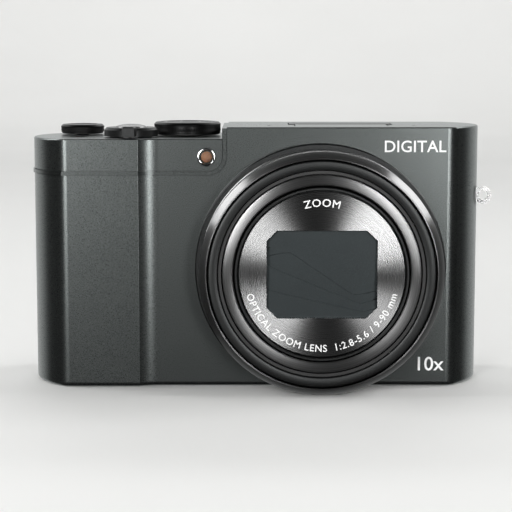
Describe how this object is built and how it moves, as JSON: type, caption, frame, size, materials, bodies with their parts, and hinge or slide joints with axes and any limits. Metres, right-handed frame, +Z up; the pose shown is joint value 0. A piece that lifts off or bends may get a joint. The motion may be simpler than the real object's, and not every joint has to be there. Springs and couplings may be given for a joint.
{
  "type": "compact digital camera",
  "caption": "Pocket digital camera with a retracting zoom lens, control ring, lens barrier, top dials, pop-up flash and rear screen.",
  "frame": {"origin": "mouth of the tripod socket, on the plane the camera stands on", "axes": "+X to the right as the lens side is seen, the lens faces -Y, +Z up"},
  "size_m": [0.1145, 0.0443, 0.0642],
  "materials": {
    "charcoal_paint": "satin speckled paint",
    "strip_metal": "satin",
    "satin_black_metal": "satin anodised",
    "spun_black_metal": "spun, black anodised",
    "gloss_black": "gloss",
    "black_plastic": "moulded",
    "matte_black": "matte",
    "black_rubber": "matte",
    "leaf_paint": "matte",
    "black_screws": "satin",
    "steel": "brushed",
    "chrome": "polished",
    "clear_lens": "clear",
    "coated_glass": "coated",
    "screen_glass": "gloss",
    "amber_led": "gloss",
    "sensor": "gloss",
    "circuit_board": "satin",
    "battery_wrap": "satin",
    "card_plastic": "satin"
  },
  "bodies": {
    "camera_body": {"af_lamp_led": "amber_led", "af_lamp_lens": "clear_lens", "base_plate": "charcoal_paint", "battery": "battery_wrap", "battery_chamber": "black_plastic", "casing_screws": "black_screws", "chassis": "steel", "deck_cover": "charcoal_paint", "evf_eyecup": "black_rubber", "evf_lens": "coated_glass", "evf_module": "black_plastic", "front_casing": "charcoal_paint", "image_sensor": "sensor", "lcd_glass": "screen_glass", "lcd_panel": "steel", "lens_fixed_barrel": "black_plastic", "lens_flange": "satin_black_metal", "lens_front_ring": "satin_black_metal", "main_board": "circuit_board", "memory_card": "card_plastic", "port_board": "circuit_board", "rear_casing": "charcoal_paint", "strap_lug": "chrome", "thumb_grip": "black_rubber", "top_cover": "charcoal_paint", "trim_strip": "strip_metal", "tripod_socket": "steel", "zoom_motor": "steel"},
    "control_ring": {"control_ring": "spun_black_metal"},
    "lens_stage_1": {"lens_barrel_1": "spun_black_metal"},
    "lens_stage_2": {"lens_barrel_2": "satin_black_metal", "nameplate": "matte_black", "front_lens": "coated_glass"},
    "flash_arm": {"flash_arm": "satin_black_metal"},
    "flash_head": {"flash_head": "charcoal_paint", "flash_window": "clear_lens"},
    "barrier_leaf_upper_1": {"barrier_leaf_upper_1": "leaf_paint"},
    "barrier_leaf_upper_2": {"barrier_leaf_upper_2": "leaf_paint"},
    "barrier_leaf_upper_3": {"barrier_leaf_upper_3": "leaf_paint"},
    "barrier_leaf_lower_1": {"barrier_leaf_lower_1": "leaf_paint"},
    "barrier_leaf_lower_2": {"barrier_leaf_lower_2": "leaf_paint"},
    "barrier_leaf_lower_3": {"barrier_leaf_lower_3": "leaf_paint"},
    "mode_dial": {"mode_dial": "spun_black_metal"},
    "rear_dial": {"rear_dial": "spun_black_metal"},
    "zoom_lever": {"zoom_lever": "satin_black_metal"},
    "shutter_button": {"shutter_button": "spun_black_metal"},
    "power_switch": {"power_switch": "satin_black_metal"},
    "movie_button": {"movie_button": "gloss_black"},
    "flash_release": {"flash_release": "black_plastic"},
    "diopter_dial": {"diopter_dial": "black_plastic"},
    "nav_ring": {"nav_ring": "satin_black_metal"},
    "set_button": {"set_button": "gloss_black"},
    "view_button": {"view_button": "gloss_black"},
    "play_button": {"play_button": "gloss_black"},
    "display_button": {"display_button": "gloss_black"},
    "menu_button": {"menu_button": "gloss_black"},
    "battery_door": {"battery_door": "black_plastic"},
    "door_latch": {"door_latch": "black_plastic"},
    "port_door": {"port_door": "charcoal_paint"}
  },
  "joints": [
    {"name": "control_ring_turn", "type": "hinge", "parent": "camera_body", "child": "control_ring", "pos_m": [0.0156, -0.0228, 0.02935], "axis": [0, -1, 0], "continuous": true},
    {"name": "lens_stage_1_extend", "type": "slide", "parent": "camera_body", "child": "lens_stage_1", "axis": [0, -1, 0], "range_m": [0, 0.022]},
    {"name": "lens_stage_2_extend", "type": "slide", "parent": "lens_stage_1", "child": "lens_stage_2", "axis": [0, -1, 0], "range_m": [0, 0.02]},
    {"name": "barrier_upper_1_swing", "type": "hinge", "parent": "lens_stage_2", "child": "barrier_leaf_upper_1", "pos_m": [-0.0014, -0.0252, 0.02615], "axis": [0, -1, 0], "range_deg": [0, 33]},
    {"name": "barrier_upper_2_swing", "type": "hinge", "parent": "lens_stage_2", "child": "barrier_leaf_upper_2", "pos_m": [-0.0014, -0.0252, 0.02615], "axis": [0, -1, 0], "range_deg": [0, 22.05]},
    {"name": "barrier_upper_3_swing", "type": "hinge", "parent": "lens_stage_2", "child": "barrier_leaf_upper_3", "pos_m": [-0.0014, -0.0252, 0.02615], "axis": [0, -1, 0], "range_deg": [0, 13.05]},
    {"name": "barrier_lower_1_swing", "type": "hinge", "parent": "lens_stage_2", "child": "barrier_leaf_lower_1", "pos_m": [0.0326, -0.0252, 0.03255], "axis": [0, -1, 0], "range_deg": [0, 33.05]},
    {"name": "barrier_lower_2_swing", "type": "hinge", "parent": "lens_stage_2", "child": "barrier_leaf_lower_2", "pos_m": [0.0326, -0.0252, 0.03255], "axis": [0, -1, 0], "range_deg": [0, 22.05]},
    {"name": "barrier_lower_3_swing", "type": "hinge", "parent": "lens_stage_2", "child": "barrier_leaf_lower_3", "pos_m": [0.0326, -0.0252, 0.03255], "axis": [0, -1, 0], "range_deg": [0, 13.05]},
    {"name": "zoom_lever_turn", "type": "hinge", "parent": "camera_body", "child": "zoom_lever", "pos_m": [-0.03075, -0.0065, 0.062], "axis": [0, 0, 1], "range_deg": [-25, 25], "stiffness_Nm_per_rad": 0.02},
    {"name": "shutter_press", "type": "slide", "parent": "camera_body", "child": "shutter_button", "axis": [0, 0, -1], "range_m": [0, 0.0011], "stiffness_N_per_m": 400, "springref_m": -0.0005},
    {"name": "mode_dial_turn", "type": "hinge", "parent": "camera_body", "child": "mode_dial", "pos_m": [-0.0172, 0.0015, 0.062], "axis": [0, 0, 1], "continuous": true},
    {"name": "rear_dial_turn", "type": "hinge", "parent": "camera_body", "child": "rear_dial", "pos_m": [-0.044, 0.006, 0.062], "axis": [0, 0, 1], "continuous": true},
    {"name": "power_slide", "type": "slide", "parent": "camera_body", "child": "power_switch", "axis": [1, 0, 0], "range_m": [0, 0.0025]},
    {"name": "movie_press", "type": "slide", "parent": "camera_body", "child": "movie_button", "axis": [0, 0, -1], "range_m": [0, 0.0004], "stiffness_N_per_m": 400, "springref_m": -0.0005},
    {"name": "flash_arm_raise", "type": "hinge", "parent": "camera_body", "child": "flash_arm", "pos_m": [0.021, 0.006, 0.0623], "axis": [-1, 0, 0], "range_deg": [0, 40]},
    {"name": "flash_head_level", "type": "hinge", "parent": "flash_arm", "child": "flash_head", "pos_m": [0.021, -0.0025, 0.0623], "axis": [-1, 0, 0], "range_deg": [-40.1, 0.05]},
    {"name": "flash_release_slide", "type": "slide", "parent": "camera_body", "child": "flash_release", "axis": [1, 0, 0], "range_m": [0, 0.002], "stiffness_N_per_m": 200, "springref_m": -0.0005},
    {"name": "diopter_turn", "type": "hinge", "parent": "camera_body", "child": "diopter_dial", "pos_m": [0.0278, 0.0145, 0.0575], "axis": [0, 1, 0], "range_deg": [-120, 120]},
    {"name": "nav_ring_turn", "type": "hinge", "parent": "camera_body", "child": "nav_ring", "pos_m": [-0.035, 0.0138, 0.022], "axis": [0, 1, 0], "continuous": true},
    {"name": "set_press", "type": "slide", "parent": "camera_body", "child": "set_button", "axis": [0, -1, 0], "range_m": [0, 0.0007], "stiffness_N_per_m": 400, "springref_m": -0.0005},
    {"name": "view_press", "type": "slide", "parent": "camera_body", "child": "view_button", "axis": [0, -1, 0], "range_m": [0, 0.0007], "stiffness_N_per_m": 400, "springref_m": -0.0005},
    {"name": "play_press", "type": "slide", "parent": "camera_body", "child": "play_button", "axis": [0, -1, 0], "range_m": [0, 0.0007], "stiffness_N_per_m": 400, "springref_m": -0.0005},
    {"name": "display_press", "type": "slide", "parent": "camera_body", "child": "display_button", "axis": [0, -1, 0], "range_m": [0, 0.0007], "stiffness_N_per_m": 400, "springref_m": -0.0005},
    {"name": "menu_press", "type": "slide", "parent": "camera_body", "child": "menu_button", "axis": [0, -1, 0], "range_m": [0, 0.0007], "stiffness_N_per_m": 400, "springref_m": -0.0005},
    {"name": "battery_door_swing", "type": "hinge", "parent": "camera_body", "child": "battery_door", "pos_m": [-0.0194, 0, 0], "axis": [0, -1, 0], "range_deg": [0, 90]},
    {"name": "door_latch_slide", "type": "slide", "parent": "battery_door", "child": "door_latch", "axis": [1, 0, 0], "range_m": [0, 0.0023]},
    {"name": "port_door_swing", "type": "hinge", "parent": "camera_body", "child": "port_door", "pos_m": [-0.05338, 0.00685, 0.024], "axis": [0, 0, -1], "range_deg": [0, 85]}
  ],
  "couplings": [
    {"joint": "lens_stage_2_extend", "follows": "lens_stage_1_extend", "ratio": 0.9},
    {"joint": "barrier_upper_2_swing", "follows": "barrier_upper_1_swing", "ratio": 0.66667},
    {"joint": "barrier_upper_3_swing", "follows": "barrier_upper_1_swing", "ratio": 0.39394},
    {"joint": "barrier_lower_1_swing", "follows": "barrier_upper_1_swing", "ratio": 1},
    {"joint": "barrier_lower_2_swing", "follows": "barrier_upper_1_swing", "ratio": 0.66667},
    {"joint": "barrier_lower_3_swing", "follows": "barrier_upper_1_swing", "ratio": 0.39394},
    {"joint": "flash_head_level", "follows": "flash_arm_raise", "ratio": -1}
  ]
}
